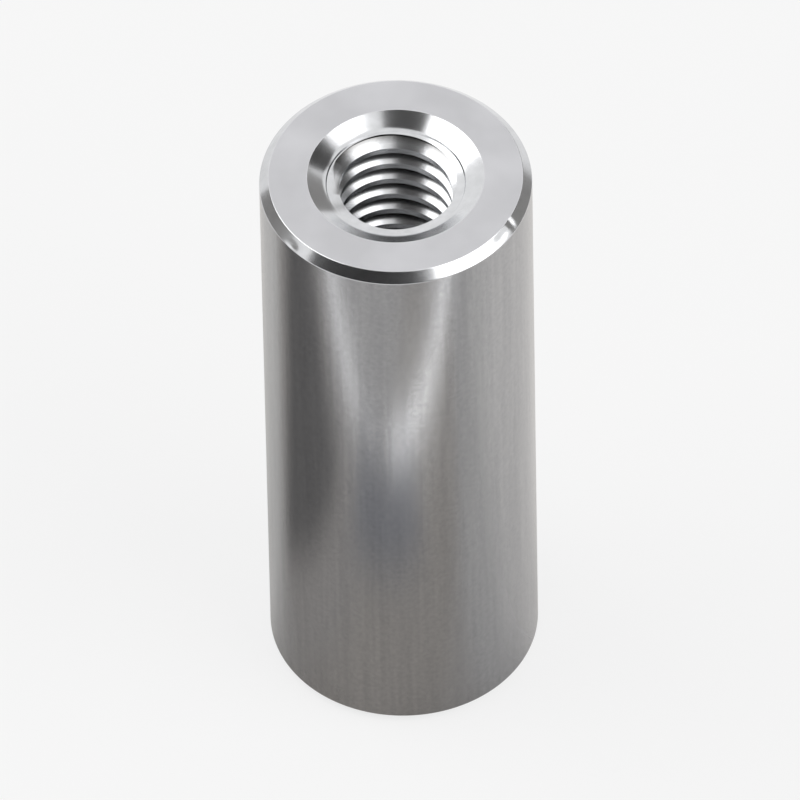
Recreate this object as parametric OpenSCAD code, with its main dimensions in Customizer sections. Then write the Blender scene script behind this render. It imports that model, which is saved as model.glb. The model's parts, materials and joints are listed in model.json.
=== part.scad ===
// Round female standoff, turned from plain aluminium bar.
// It stands on its lower end face, with its bore along +Z and its origin at the
// centre of that face. The finished length, the outer chamfers and the
// countersinks are the same at both ends. All sizes are in millimetres.

/* [Body] */
// Outside diameter of the round bar
bar_d = 12; // [11:0.5:16]
// Length over the two end faces
body_len = 30; // [20:1:60]
// Width of the 45 degree chamfer round each outer edge
edge_chamfer = 0.4; // [0.2:0.1:0.8]

/* [Tapped hole] */
// Nominal diameter of the metric thread
thread_d = 6; // [5:0.5:7]
// Pitch of the metric thread
thread_pitch = 1; // [0.5:0.05:1.25]
// How much wider than the thread each countersink is at the end face
sink_extra = 1.8; // [0.4:0.1:2.2]
// Included angle of each countersink
sink_angle = 120; // [90:5:130]

/* [Hidden] */

$fn = 128;

bar_r = bar_d / 2;
face_r = bar_r - edge_chamfer;

// The hole is drilled at the tapping size, which leaves the thread its crests
bore_r = (thread_d - thread_pitch) / 2;
sink_r = (thread_d + sink_extra) / 2;
sink_depth = (sink_r - bore_r) / tan(sink_angle / 2);

// Mill-finish aluminium, paler where it was cut
bar_colour = [0.76, 0.77, 0.78];

// Outline of one wall of the bar, from the countersink at the lower face round
// the outside to the countersink at the upper face
module wall_section() {
    polygon([
        [bore_r, sink_depth],
        [sink_r, 0],
        [face_r, 0],
        [bar_r, edge_chamfer],
        [bar_r, body_len - edge_chamfer],
        [face_r, body_len],
        [sink_r, body_len],
        [bore_r, body_len - sink_depth]
    ]);
}

module standoff() {
    color(bar_colour)
        rotate_extrude()
            wall_section();
}

standoff();
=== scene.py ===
"""Dresses the round threaded standoff: its turned body with the tapped thread, and a plain studio."""
import json
import math

import bmesh
import bpy
from mathutils import Matrix, Vector


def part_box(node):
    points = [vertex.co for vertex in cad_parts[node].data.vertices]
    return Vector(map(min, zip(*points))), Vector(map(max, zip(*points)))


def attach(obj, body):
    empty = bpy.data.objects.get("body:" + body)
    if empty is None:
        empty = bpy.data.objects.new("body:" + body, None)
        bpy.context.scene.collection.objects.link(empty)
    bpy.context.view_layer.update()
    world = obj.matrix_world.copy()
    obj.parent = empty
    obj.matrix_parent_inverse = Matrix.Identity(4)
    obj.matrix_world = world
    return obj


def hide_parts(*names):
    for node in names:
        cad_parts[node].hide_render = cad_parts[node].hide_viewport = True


bl_info = {
    "name": "Turned Standoff",
    "version": (1, 0, 0),
    "blender": (4, 5, 0),
    "location": "View3D > Sidebar > Standoff",
    "description": "Builds a turned and tapped aluminium standoff and a plain studio to look at it in",
    "category": "Object",
}

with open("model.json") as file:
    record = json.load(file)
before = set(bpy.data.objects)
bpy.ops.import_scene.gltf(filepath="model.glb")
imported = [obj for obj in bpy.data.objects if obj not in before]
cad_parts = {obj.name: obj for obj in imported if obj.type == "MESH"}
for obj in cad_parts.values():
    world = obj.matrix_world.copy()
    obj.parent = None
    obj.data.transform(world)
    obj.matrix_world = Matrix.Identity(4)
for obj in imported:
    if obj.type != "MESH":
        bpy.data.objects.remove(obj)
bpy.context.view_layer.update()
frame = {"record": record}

MM = 0.001
BODY = "root"
NODE = "standoff"

# The bar and the tapping hole as the frame has them
NODE_LOW, NODE_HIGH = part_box(NODE)
LENGTH = NODE_HIGH[2] - NODE_LOW[2]
BAR_R = (NODE_HIGH[0] - NODE_LOW[0]) / 2
HOLE = next(mount for mount in frame["record"]["mounts"] if mount["name"] == "thread")
BORE_R = HOLE["dims"]["r_mm"] * MM

# Columns of faces round the standoff, one a degree, and spare turns of thread that the countersinks cut away
COLUMNS = 360
SPARE_TURNS = 3

# Points closer than this are one point, and a face this near a countersink's cone is part of it
TINY = 0.0002 * MM
NEAR_CONE = 0.004 * MM

# Two faces that meet at more than this angle have a sharp edge between them
SHARP_ANGLE = math.radians(28)

# A metric thread has 60 degrees between its flanks and roots an eighth of the pitch wide. One turn of it
# follows five lines: the root, the crest's lower edge, middle and upper edge, and the root again
THREAD_FLANK = math.radians(30)
ROOT_WIDTH = 1 / 8
TURN_LINES = 5
CREST_BELOW, CREST_MIDDLE, CREST_ABOVE = 1, 2, 3

# The tap raises the inner edge of each countersink and leaves a small step there: slope in degrees and width
# in millimetres of each ring, from the countersink inwards. The innermost ring reaches past the thread's root
# by the share that is left out here, so the grooves open through it
LIP = ((28, 0.06), (25, 0.06), (22, 0.06), (62, 0.04), (20, 0.05))
LIP_OUTSIDE = 0.96

# Small knocks on the upper chamfer: degrees round from +X, place across the chamfer from 0 at the face to 1
# at the bar, half length round it, half width across it and depth, the last three in millimetres
KNOCKS = (
    (-37.0, 0.45, 0.45, 0.10, 0.028),
    (-29.0, 0.20, 0.15, 0.20, 0.045),
    (-141.0, 0.85, 0.30, 0.12, 0.025),
)

# Spare rings on the face and the bar, this far from the chamfer in millimetres, keep a knock from spreading,
# and rings across the chamfer let it bend there
KNOCK_RINGS = (0.12, 0.3, 0.6)
CHAMFER_RINGS = 5

# Noise at scale 1 has patches about half a unit wide, and most of its values lie in this range
NOISE_PATCH = 0.5
NOISE_LOW, NOISE_HIGH = 0.3, 0.7

# Painted shade darkens the thread from this share of the way out to its root
ROOT_SHADE_FROM = 0.4

# The order of the body's materials
BAR, FACE, CHAMFER, THREAD = range(4)

# The studio, in metres. Brightness 1 is that of white paper, and the sensor's width is in millimetres
FLOOR_WIDTH = 4.0
FLOOR_WHITE = 0.75
ROOM_LIGHT = 0.55
SENSOR_WIDTH = 36.0
CLIP_NEAR, CLIP_FAR = 0.1, 10.0

# Lamps and upright cards all round: azimuth and elevation in degrees, distance, size, then brightness or
# colour. Azimuth 0 is the camera's side and positive is to its right
SOFTBOXES = (
    ("softbox_left", -98, 51, 0.7, (0.72, 0.50), 1.5),
    ("softbox_right", 64, 43, 0.7, (0.64, 0.60), 1.6),
)
CARDS = (
    ("card_front", -20, 36, 1.0, (1.8, 0.50), "#3F3E3E"),
    ("card_over", -26, 69, 1.0, (0.52, 0.44), "#61605F"),
    ("card_right", 114, 37, 1.0, (0.42, 0.36), "#595857"),
    ("card_low_right", 126, 12, 1.0, (1.15, 0.56), "#B8B6B4"),
    ("card_low_left", -104, 14, 1.0, (0.80, 0.36), "#ADABA9"),
)

# Cards flat on the floor, each over the one before: place in millimetres from the standoff's foot, turn in
# degrees, size in millimetres and colour. The bar's upright side mirrors little else but the strips of light
FLOOR_CARDS = (
    ("card_before", (20, -14), 0, (106, 104), "#F6F3F0"),
    ("card_right_of_front", (13.2, -36.7), -20, (50, 60), "#E7E5E2"),
    ("card_beyond", (-5.3, -22.7), -32, (65, 44), "#D1CFCD"),
    ("card_near", (-6.1, -9.7), -44, (55, 18.5), "#B6B1AB"),
    ("card_beside", (-25.9, -3.3), -10, (40, 27), "#B6B2AE"),
    ("card_darkest", (-30.2, -3.7), -10, (35, 16), "#797776"),
    ("card_behind", (-12.1, 11.0), -29.5, (34, 16), "#EDEBE8"),
    ("card_small_before", (-3.5, -17.9), -12, (15, 7.0), "#94959A"),
)

# In millimetres, the border over which those cards fade out, so that their reflections have soft edges, and
# the step from one card or strip to the next, so that no two share a plane
CARD_FADE = 5.0
LAYER = 0.02

# Strips of light lie along one line on the floor: its azimuth in degrees and its distance and their width in
# millimetres, then each strip's place along the line, length and brightness
STRIP_AZIMUTH, STRIP_AWAY, STRIP_WIDTH = -8.5, 21.7, 1.2
STRIPS = (
    ("strip_low_left", -30, 43, 2.7),
    ("strip_low_middle", 0, 44, 0.6),
    ("strip_low_right", 26, 54, 3.3),
)


def linear_from_hex(code):
    """An sRGB colour such as #A0A1A3 as linear red, green and blue."""
    channels = [int(code[i:i + 2], 16) / 255 for i in (1, 3, 5)]
    return [c / 12.92 if c <= 0.04045 else ((c + 0.055) / 1.055) ** 2.4 for c in channels]


def size_property(name, about, value):
    """A length in metres that a user may change."""
    return bpy.props.FloatProperty(name=name, description=about, default=value, min=0, precision=5,
                                   subtype="DISTANCE", unit="LENGTH")


def angle_property(name, about, degrees):
    """An angle that a user may change."""
    return bpy.props.FloatProperty(name=name, description=about, default=math.radians(degrees),
                                   subtype="ANGLE")


def colour_property(name, about, code):
    """A colour that a user may change."""
    return bpy.props.FloatVectorProperty(name=name, description=about, default=linear_from_hex(code),
                                         size=3, min=0, max=1, subtype="COLOR")


class StandoffSizes(bpy.types.PropertyGroup):
    """Sizes of the cuts in the bar. The bar itself comes from the frame."""

    thread_d: size_property("Thread diameter", "Major diameter of the metric thread", 6 * MM)
    thread_pitch: size_property("Thread pitch", "Distance from one turn of the thread to the next", 1 * MM)
    thread_start: angle_property("Thread start", "Turns the whole thread about the axis", -144)
    sink_d: size_property("Countersink diameter", "Width of the countersinks at the faces", 7.8 * MM)
    sink_angle: angle_property("Countersink angle", "Included angle of the countersinks", 120)
    chamfer: size_property("Outer chamfer", "Width of the 45 degree chamfer round each outer edge", 0.4 * MM)
    edge_round: size_property("Edge rounding", "Radius left on each turned edge by deburring", 0.05 * MM)


class StandoffFinish(bpy.types.PropertyGroup):
    """Colours of the bar and of its cut surfaces."""

    bar_colour: colour_property("Drawn bar", "The bar's own surface, left as it was drawn", "#BFC0C2")
    bar_dark: colour_property("Drawn bar grain", "The darker grain of the drawn surface", "#ABACAF")
    face_colour: colour_property("Turned face", "The faced ends", "#CFCFD2")
    cut_colour: colour_property("Turned chamfer", "The chamfers and countersinks", "#DCDDDF")
    thread_colour: colour_property("Tapped thread", "The flanks and crests of the thread", "#D2D3D5")
    # The thread root's colour is painted shade, which the thread takes on towards the bottom of the groove
    root_shade_colour: colour_property("Thread root", "The bottom of the groove, dull with oil", "#8C8B8A")


class StandoffStudio(bpy.types.PropertyGroup):
    """The floor, the lamps and the camera."""

    floor_colour: colour_property("Floor", "The pale floor", "#E6E6E6")
    distance: size_property("Camera distance", "From the middle of the standoff to the camera", 1060 * MM)
    field: size_property("Field width", "Width that the camera takes in at the standoff", 35.5 * MM)
    elevation: angle_property("Camera elevation", "Height of the camera above the horizon", 49.0)
    roll: angle_property("Camera roll", "Lean of the camera, which tips the standoff to the left", 1.13)


def add_node(tree, kind, inputs=None, **settings):
    """Adds a node, sets its settings, and sets or links its inputs, each given by its name or number."""
    made = tree.nodes.new(kind)
    for name, value in settings.items():
        setattr(made, name, value)
    for key, value in (inputs or {}).items():
        if isinstance(value, bpy.types.NodeSocket):
            tree.links.new(value, made.inputs[key])
        else:
            made.inputs[key].default_value = value
    return made


def new_metal(name, roughness):
    """A bare metal with its shader, and the place on the piece that its patterns read."""
    material = bpy.data.materials.new(name)
    material.use_nodes = True
    tree = material.node_tree
    shader = tree.nodes["Principled BSDF"]
    shader.inputs["Metallic"].default_value = 1.0
    shader.inputs["Roughness"].default_value = roughness
    place = add_node(tree, "ShaderNodeTexCoord").outputs["Object"]
    return material, tree, shader, place


def mottle(tree, place, patch, low, high, upright=1.0):
    """An uneven value from about low to high, in patches of a real width. A low upright draws them out."""
    drawn_out = add_node(tree, "ShaderNodeVectorMath", {0: place, 1: (1, 1, upright)}, operation="MULTIPLY")
    noise = add_node(tree, "ShaderNodeTexNoise", {"Vector": drawn_out.outputs[0], "Detail": 2.0,
                                                  "Scale": NOISE_PATCH / patch}).outputs["Fac"]
    uneven = add_node(tree, "ShaderNodeMapRange", {"Value": noise, "From Min": NOISE_LOW, "From Max": NOISE_HIGH,
                                                   "To Min": low, "To Max": high})
    return uneven.outputs["Result"]


def distance_from_axis(tree, place):
    """How far a point is from the standoff's axis."""
    level = add_node(tree, "ShaderNodeVectorMath", {0: place, 1: (1, 1, 0)}, operation="MULTIPLY").outputs[0]
    return add_node(tree, "ShaderNodeVectorMath", {0: level}, operation="LENGTH").outputs["Value"]


def turning_marks(tree, place, feed):
    """Fine rings as wide as the tool's feed, uneven in height as a real cut is."""
    height = add_node(tree, "ShaderNodeSeparateXYZ", {0: place}).outputs["Z"]
    along = add_node(tree, "ShaderNodeMath", {0: distance_from_axis(tree, place), 1: height}, operation="ADD")
    return add_node(tree, "ShaderNodeTexNoise", {"W": along.outputs[0], "Scale": NOISE_PATCH / feed,
                                                 "Detail": 2.0}, noise_dimensions="1D").outputs["Fac"]


def colour_and_relief(tree, shader, share, low_colour, high_colour, reliefs):
    """Colours the shader from low to high by a share, and gives it reliefs, each a pattern and a depth."""
    mixed = add_node(tree, "ShaderNodeMix", {0: share, 6: (*low_colour, 1), 7: (*high_colour, 1)},
                     data_type="RGBA")
    tree.links.new(mixed.outputs[2], shader.inputs["Base Color"])
    under = {}
    for height, depth in reliefs:
        bump = add_node(tree, "ShaderNodeBump", {"Height": height, "Distance": depth, "Strength": 1.0,
                                                 **under})
        under = {"Normal": bump.outputs["Normal"]}
    tree.links.new(under["Normal"], shader.inputs["Normal"])


def drawn_bar(finish):
    """Aluminium, drawn through a die and left bare: satin, with fine grain and faint lines along the bar."""
    material, tree, shader, place = new_metal("aluminium_drawn_bar", 0.2)
    # A real bar's grain and lines are near 0.02 mm wide. They are drawn wider here, so that they show
    fine = mottle(tree, place, 0.10 * MM, 0, 1)
    lines = mottle(tree, place, 0.12 * MM, 0, 1, upright=0.03)
    share = add_node(tree, "ShaderNodeMix", {0: 0.45, 2: fine, 3: lines}).outputs[0]
    colour_and_relief(tree, shader, share, finish.bar_dark, finish.bar_colour,
                      [(fine, 0.0007 * MM), (lines, 0.0007 * MM)])
    polish = mottle(tree, place, 1.0 * MM, 0.185, 0.22, upright=0.2)
    tree.links.new(polish, shader.inputs["Roughness"])
    return material


def turned_face(finish):
    """Aluminium, faced in a lathe: pale and dull, with rings as fine as the tool's feed."""
    material, tree, shader, place = new_metal("aluminium_turned_face", 0.36)
    darker = [0.88 * c for c in finish.face_colour]
    colour_and_relief(tree, shader, mottle(tree, place, 1.2 * MM, 0, 1), darker, finish.face_colour,
                      [(mottle(tree, place, 0.12 * MM, 0, 1), 0.0006 * MM),
                       (turning_marks(tree, place, 0.07 * MM), 0.0010 * MM)])
    return material


def turned_chamfer(finish):
    """Aluminium, cut by a form tool: bright and nearly smooth, so it mirrors the lamps in sharp patches."""
    material, tree, shader, place = new_metal("aluminium_turned_chamfer", 0.16)
    darker = [0.9 * c for c in finish.cut_colour]
    colour_and_relief(tree, shader, mottle(tree, place, 0.3 * MM, 0, 1), darker, finish.cut_colour,
                      [(mottle(tree, place, 0.2 * MM, 0, 1), 0.0005 * MM),
                       (turning_marks(tree, place, 0.05 * MM), 0.0005 * MM)])
    return material


def tapped_thread(finish, root_r):
    """Aluminium, cut by a tap: bright flanks with fine tearing, and painted shade that darkens them towards the
    root.
    """
    material, tree, shader, place = new_metal("aluminium_tapped_thread", 0.2)
    # Painted shade: the colour darkens from the crests towards the groove's root
    depth = add_node(tree, "ShaderNodeMapRange", {"Value": distance_from_axis(tree, place),
                                                  "From Min": BORE_R + ROOT_SHADE_FROM * (root_r - BORE_R),
                                                  "From Max": root_r}).outputs["Result"]
    colour_and_relief(tree, shader, depth, finish.thread_colour, finish.root_shade_colour,
                      [(mottle(tree, place, 0.08 * MM, 0, 1), 0.0007 * MM)])
    return material


def rounded_corner(before, corner, after, radius, steps=4, hold=0.4):
    """An arc in place of a corner of the section, with a point outside each end that keeps the flats flat."""
    toward, away = (before - corner).normalized(), (after - corner).normalized()
    half = toward.angle(away) / 2
    setback = radius / math.tan(half)
    centre = corner + (toward + away).normalized() * (radius / math.sin(half))
    start, end = corner + toward * setback - centre, corner + away * setback - centre
    turn = math.pi - 2 * half
    arc = []
    for share in (i / steps for i in range(steps + 1)):
        spoke = start * math.sin(turn * (1 - share)) + end * math.sin(turn * share)
        arc.append(centre + spoke / math.sin(turn))
    outside = setback + hold * radius
    return [corner + toward * outside, *arc, corner + away * outside]


def upper_section(sizes):
    """Half of the section outside the thread: over the countersink, face and chamfer, then down the bar."""
    sink_r, slope = sizes.sink_d / 2, math.pi / 2 - sizes.sink_angle / 2
    lip_r = sizes.thread_d / 2 + LIP_OUTSIDE * MM * sum(width for _, width in LIP)
    lip = [Vector((lip_r, LENGTH - (sink_r - lip_r) * math.tan(slope)))]
    for degrees, width in LIP:
        lip.append(lip[-1] - Vector((1, math.tan(math.radians(degrees)))) * width * MM)
    corners = [lip[0],
               Vector((sink_r, LENGTH)),
               Vector((BAR_R - sizes.chamfer, LENGTH)),
               Vector((BAR_R, LENGTH - sizes.chamfer)),
               Vector((BAR_R, LENGTH / 2))]
    section = lip[:0:-1] + [lip[0]]
    for before, corner, after in zip(corners, corners[1:], corners[2:]):
        rounded = rounded_corner(before, corner, after, sizes.edge_round)
        if corner is corners[2]:
            section += [rounded[0] - Vector((away * MM, 0)) for away in reversed(KNOCK_RINGS)]
        if corner is corners[3]:
            rings = range(1, CHAMFER_RINGS + 1)
            section += [section[-1].lerp(rounded[0], i / (CHAMFER_RINGS + 1)) for i in rings]
        section += rounded
    return section + [section[-1] - Vector((0, away * MM)) for away in KNOCK_RINGS]


def thread_turn(sizes):
    """Radius and height of each line that one turn of the thread follows."""
    root_r = sizes.thread_d / 2
    flank = (root_r - BORE_R) * math.tan(THREAD_FLANK)
    crest = (1 - ROOT_WIDTH) * sizes.thread_pitch / 2 - flank
    root = crest + flank
    return [(root_r, -root), (BORE_R, -crest), (BORE_R, 0.0), (BORE_R, crest), (root_r, root)]


def meet(first, second, cone):
    """Where the line between two points of the section meets the countersink's cone."""
    gaps = [r - cone(z) for r, z in (first, second)]
    share = gaps[0] / (gaps[0] - gaps[1])
    return tuple(a + (b - a) * share for a, b in zip(first, second))


def open_by_sink(wall, cone, end):
    """Cuts a countersink into a section of the thread, listed towards that end. Points keep their number."""
    kept = [z < end and r >= cone(z) for r, z in wall]
    opened = []
    for i, (r, z) in enumerate(wall):
        line = i % TURN_LINES
        middle = line == CREST_MIDDLE
        inner = i - 2 if line == CREST_ABOVE else i - 1
        outer = i + 2 if line == CREST_BELOW else i + 1
        if middle and kept[inner] != kept[outer]:
            opened.append(meet(wall[inner], wall[outer], cone))
        elif kept[i]:
            opened.append((r, z))
        elif not middle and outer < len(wall) and kept[outer]:
            opened.append(meet(wall[i], wall[outer], cone))
        elif not middle and inner >= 0 and kept[inner]:
            opened.append(meet(wall[inner], wall[i], cone))
        else:
            opened.append((cone(min(z, end)), min(z, end)))
    return opened


def wall_section(sizes, turned, cone, end):
    """The threaded wall's section from the lower end up, where the thread has turned by a share of a turn."""
    lift = (turned + sizes.thread_start / math.tau) * sizes.thread_pitch
    turns = range(-SPARE_TURNS, math.ceil(LENGTH / sizes.thread_pitch) + SPARE_TURNS)
    wall = [(r, z + lift + turn * sizes.thread_pitch) for turn in turns for r, z in thread_turn(sizes)]
    for _ in range(2):
        wall = [(r, LENGTH - z) for r, z in reversed(open_by_sink(wall, cone, end))]
    return wall


def knocked(sizes, angle, point):
    """A point of the outside, pushed in where the upper chamfer has been knocked."""
    across = (LENGTH - point.y) / sizes.chamfer
    push = 0.0
    for degrees, place, half_length, half_width, depth in KNOCKS:
        round_off = (angle - math.radians(degrees) + math.pi) % math.tau - math.pi
        away = (round_off * BAR_R / (half_length * MM)) ** 2
        away += ((across - place) * sizes.chamfer / (half_width * MM)) ** 2
        away += (max(0.0, BAR_R - sizes.chamfer - point.x) / (half_width * MM)) ** 2
        push += depth * MM * math.exp(-away)
    return point - Vector((push, push)) * math.sqrt(0.5)


def around(bm, section_at):
    """A ring of columns of vertices, each from the section at its angle."""
    rings = []
    for i in range(COLUMNS):
        angle = math.tau * i / COLUMNS
        x, y = math.cos(angle), math.sin(angle)
        rings.append([bm.verts.new((r * x, r * y, z)) for r, z in section_at(angle)])
    return rings


def skin(bm, left, right, finish_of):
    """Faces between two columns, each with the material that its edge of the section calls for."""
    for (a, b), (d, c), row in zip(zip(left, left[1:]), zip(right, right[1:]), range(len(left))):
        bm.faces.new((a, b, c, d)).material_index = finish_of[row]


def turned_body(sizes):
    """The whole standoff as one closed mesh, its thread cut into the bore along the helix."""
    upper = upper_section(sizes)
    outside = upper + [Vector((p.x, LENGTH - p.y)) for p in reversed(upper)]
    finishes = []
    for a, b in zip(outside, outside[1:]):
        flat, upright = abs(a.y - b.y) < TINY, abs(a.x - b.x) < TINY
        finishes.append(FACE if flat else BAR if upright else CHAMFER)
    edge = (outside[0].x - outside[1].x) / (outside[0].y - outside[1].y)

    def cone(z):
        return outside[0].x + (z - outside[0].y) * edge

    bm = bmesh.new()
    walls = around(bm, lambda angle: wall_section(sizes, angle / math.tau, cone, outside[0].y))
    shells = around(bm, lambda angle: [knocked(sizes, angle, p) for p in outside[1:-1]])
    for i in range(COLUMNS):
        after = (i + 1) % COLUMNS
        climbed = TURN_LINES if after == 0 else 0
        skin(bm, walls[i][:len(walls[i]) - climbed], walls[after][climbed:], [THREAD] * len(walls[i]))
        left = [walls[i][-1], *shells[i], walls[i][0]]
        right = [walls[after][-1], *shells[after], walls[after][0]]
        skin(bm, left, right, finishes)
    bmesh.ops.remove_doubles(bm, verts=bm.verts, dist=TINY)
    for face in bm.faces:
        middle = face.calc_center_median()
        mouth = max(cone(middle.z), cone(LENGTH - middle.z))
        if face.material_index == THREAD and abs(math.hypot(middle.x, middle.y) - mouth) < NEAR_CONE:
            face.material_index = CHAMFER
    bmesh.ops.recalc_face_normals(bm, faces=bm.faces)
    return bm


class STANDOFF_OT_body(bpy.types.Operator):
    """Builds the turned and tapped body, which stands in for the plain solid"""

    bl_idname = "standoff.body"
    bl_label = "Turned body"

    def execute(self, context):
        sizes, finish = context.scene.standoff_sizes, context.scene.standoff_finish
        bm = turned_body(sizes)
        mesh = bpy.data.meshes.new("standoff_body")
        bm.to_mesh(mesh)
        bm.free()
        mesh.shade_smooth()
        mesh.set_sharp_from_angle(angle=SHARP_ANGLE)
        for material in (drawn_bar(finish), turned_face(finish), turned_chamfer(finish),
                         tapped_thread(finish, sizes.thread_d / 2)):
            mesh.materials.append(material)
        piece = bpy.data.objects.new("standoff_body", mesh)
        context.scene.collection.objects.link(piece)
        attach(piece, BODY)
        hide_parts(NODE)
        return {"FINISHED"}


def shown_white(tree, shader, white_share):
    """Lifts a surface or sky towards white where the camera sees it, straight or in metal or glass."""
    rays = add_node(tree, "ShaderNodeLightPath").outputs
    seen = rays["Is Camera Ray"]
    for kind in ("Is Glossy Ray", "Is Transmission Ray"):
        seen = add_node(tree, "ShaderNodeMath", {0: seen, 1: rays[kind]}, operation="MAXIMUM").outputs[0]
    lift = add_node(tree, "ShaderNodeMath", {0: seen, 1: white_share}, operation="MULTIPLY").outputs[0]
    white = add_node(tree, "ShaderNodeEmission", {"Color": (1, 1, 1, 1), "Strength": 1.0}).outputs[0]
    return add_node(tree, "ShaderNodeMixShader", {0: lift, 1: shader, 2: white}).outputs[0]


def matt_paper(name, colour):
    """Matt paper or card: even and without shine, so only shadows mark it."""
    material = bpy.data.materials.new(name)
    material.use_nodes = True
    shader = material.node_tree.nodes["Principled BSDF"]
    shader.inputs["Base Color"].default_value = (*colour, 1)
    shader.inputs["Roughness"].default_value = 1.0
    shader.inputs["Specular IOR Level"].default_value = 0.0
    return material, material.node_tree, shader


def studio_sky():
    """A plain studio: grey light from all round, white where it is seen."""
    world = bpy.data.worlds.new("plain_studio")
    world.use_nodes = True
    tree = world.node_tree
    room = tree.nodes["Background"]
    room.inputs["Color"].default_value = (1, 1, 1, 1)
    room.inputs["Strength"].default_value = ROOM_LIGHT
    tree.links.new(shown_white(tree, room.outputs[0], 1.0), tree.nodes["World Output"].inputs["Surface"])
    return world


def direction(azimuth, elevation):
    """Unit vector from the standoff towards an azimuth and elevation in degrees."""
    a, e = math.radians(azimuth), math.radians(elevation)
    return Vector((math.sin(a) * math.cos(e), -math.cos(a) * math.cos(e), math.sin(e)))


def facing(place, target):
    """The placing of a lamp, card or camera at a place, turned to a target."""
    turned = (place - target).to_track_quat("Z", "Y").to_matrix().to_4x4()
    return Matrix.Translation(place) @ turned


def add_lamp(scene, name, placing, size, strength):
    """A soft lamp of a given brightness, which the camera doesn't see."""
    lamp = bpy.data.lights.new(name, "AREA")
    lamp.shape = "ELLIPSE"
    lamp.size, lamp.size_y = size
    area = math.pi / 4 * size[0] * size[1]
    lamp.energy = strength * math.pi * area
    holder = bpy.data.objects.new(name, lamp)
    scene.collection.objects.link(holder)
    holder.matrix_world = placing
    holder.visible_camera = False
    return holder


def fading_edges(tree, shader, size, fade):
    """Lets a flat card of a given size fade out over a border of a real width."""
    place = add_node(tree, "ShaderNodeTexCoord").outputs["Object"]
    off_middle = add_node(tree, "ShaderNodeVectorMath", {0: place}, operation="ABSOLUTE").outputs[0]
    # The card is a unit square before it is scaled, so its edges are half a unit from its middle. The node
    # takes the vector at input 6, its ranges from 7 on
    whole = (*(0.5 - fade / side for side in size), 0.0)
    inside = add_node(tree, "ShaderNodeMapRange", {6: off_middle, 7: (0.5, 0.5, 0.5), 8: whole,
                                                   9: (0.0, 0.0, 0.0), 10: (1.0, 1.0, 1.0)},
                      data_type="FLOAT_VECTOR", interpolation_type="SMOOTHSTEP").outputs["Vector"]
    sides = add_node(tree, "ShaderNodeSeparateXYZ", {0: inside}).outputs
    share = add_node(tree, "ShaderNodeMath", {0: sides["X"], 1: sides["Y"]}, operation="MULTIPLY").outputs[0]
    clear = add_node(tree, "ShaderNodeBsdfTransparent").outputs[0]
    return add_node(tree, "ShaderNodeMixShader", {0: share, 1: clear, 2: shader}).outputs[0]


def add_card(name, placing, size, colour, fade=0.0):
    """A card that only the metal's reflections show, as photographers use to give bright metal its edges."""
    size = [side + fade for side in size]
    bpy.ops.mesh.primitive_plane_add(size=1)
    card = bpy.context.object
    card.name = name
    card.matrix_world = placing @ Matrix.Diagonal((*size, 1, 1))
    paper, tree, shader = matt_paper(name, linear_from_hex(colour))
    if fade:
        faded = fading_edges(tree, shader.outputs[0], size, fade)
        tree.links.new(faded, tree.nodes["Material Output"].inputs[0])
    card.data.materials.append(paper)
    for ray in ("camera", "diffuse", "transmission", "shadow"):
        setattr(card, "visible_" + ray, False)


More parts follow.
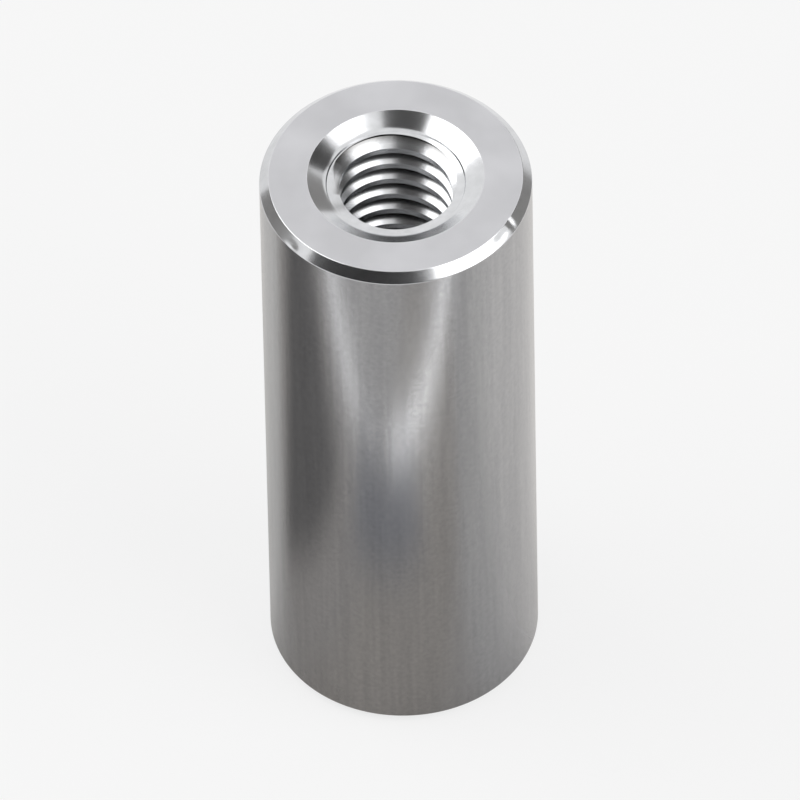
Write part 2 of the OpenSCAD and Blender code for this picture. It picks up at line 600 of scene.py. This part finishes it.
class STANDOFF_OT_stage(bpy.types.Operator):
    """Sets the floor, the soft lamps, the cards and the camera"""

    bl_idname = "standoff.stage"
    bl_label = "Studio"

    def execute(self, context):
        scene, studio = context.scene, context.scene.standoff_studio
        middle = Vector((0, 0, LENGTH / 2))
        bpy.ops.mesh.primitive_plane_add(size=FLOOR_WIDTH)
        floor = context.object
        floor.name = "floor"
        paper, tree, shader = matt_paper("matt_paper_floor", studio.floor_colour)
        pale = shown_white(tree, shader.outputs[0], FLOOR_WHITE)
        tree.links.new(pale, tree.nodes["Material Output"].inputs[0])
        floor.data.materials.append(paper)
        scene.world = studio_sky()
        for name, azimuth, elevation, distance, size, strength in SOFTBOXES:
            place = middle + direction(azimuth, elevation) * distance
            add_lamp(scene, name, facing(place, middle), size, strength)
        for name, azimuth, elevation, distance, size, colour in CARDS:
            add_card(name, facing(middle + direction(azimuth, elevation) * distance, middle), size, colour)
        for i, (name, place, turn, size, colour) in enumerate(FLOOR_CARDS):
            placing = Matrix.Translation(Vector((*place, LAYER * (i + 1))) * MM)
            placing @= Matrix.Rotation(math.radians(turn), 4, "Z")
            add_card(name, placing, [side * MM for side in size], colour, CARD_FADE * MM)
        line = facing((direction(STRIP_AZIMUTH, 0) * STRIP_AWAY + Vector((0, 0, STRIP_WIDTH))) * MM, middle)
        for i, (name, along, length, strength) in enumerate(STRIPS):
            placing = line @ Matrix.Translation(Vector((along, 0, LAYER * i)) * MM)
            strip = add_lamp(scene, name, placing, (length * MM, STRIP_WIDTH * MM), strength)
            strip.visible_diffuse = False
        camera = bpy.data.objects.new("camera", bpy.data.cameras.new("camera"))
        scene.collection.objects.link(camera)
        camera.data.sensor_width = SENSOR_WIDTH
        camera.data.lens = SENSOR_WIDTH * studio.distance / studio.field
        camera.data.clip_start, camera.data.clip_end = CLIP_NEAR, CLIP_FAR
        view = facing(middle + direction(0, math.degrees(studio.elevation)) * studio.distance, middle)
        camera.matrix_world = view @ Matrix.Rotation(-studio.roll, 4, "Z")
        scene.camera = camera
        scene.view_settings.view_transform = "Standard"
        return {"FINISHED"}


class STANDOFF_PT_panel(bpy.types.Panel):
    """Lists the sizes, the finishes and the steps"""

    bl_label = "Standoff"
    bl_idname = "STANDOFF_PT_panel"
    bl_space_type = "VIEW_3D"
    bl_region_type = "UI"
    bl_category = "Standoff"

    def draw(self, context):
        layout = self.layout
        for group in GROUPS:
            box = layout.box()
            settings = getattr(context.scene, group)
            for name in GROUPS[group].__annotations__:
                box.prop(settings, name)
        for step in STEPS:
            layout.operator(step.bl_idname)


STEPS = (STANDOFF_OT_body, STANDOFF_OT_stage)
GROUPS = {
    "standoff_sizes": StandoffSizes,
    "standoff_finish": StandoffFinish,
    "standoff_studio": StandoffStudio,
}


def register():
    for kind in (*GROUPS.values(), *STEPS, STANDOFF_PT_panel):
        bpy.utils.register_class(kind)
    for name, kind in GROUPS.items():
        setattr(bpy.types.Scene, name, bpy.props.PointerProperty(type=kind))


def unregister():
    for name in GROUPS:
        delattr(bpy.types.Scene, name)
    for kind in (STANDOFF_PT_panel, *reversed(STEPS), *reversed(list(GROUPS.values()))):
        bpy.utils.unregister_class(kind)


def main():
    register()
    bpy.ops.standoff.body()
    bpy.ops.standoff.stage()
    bpy.context.view_layer.update()


if __name__ == "__main__":
    main()
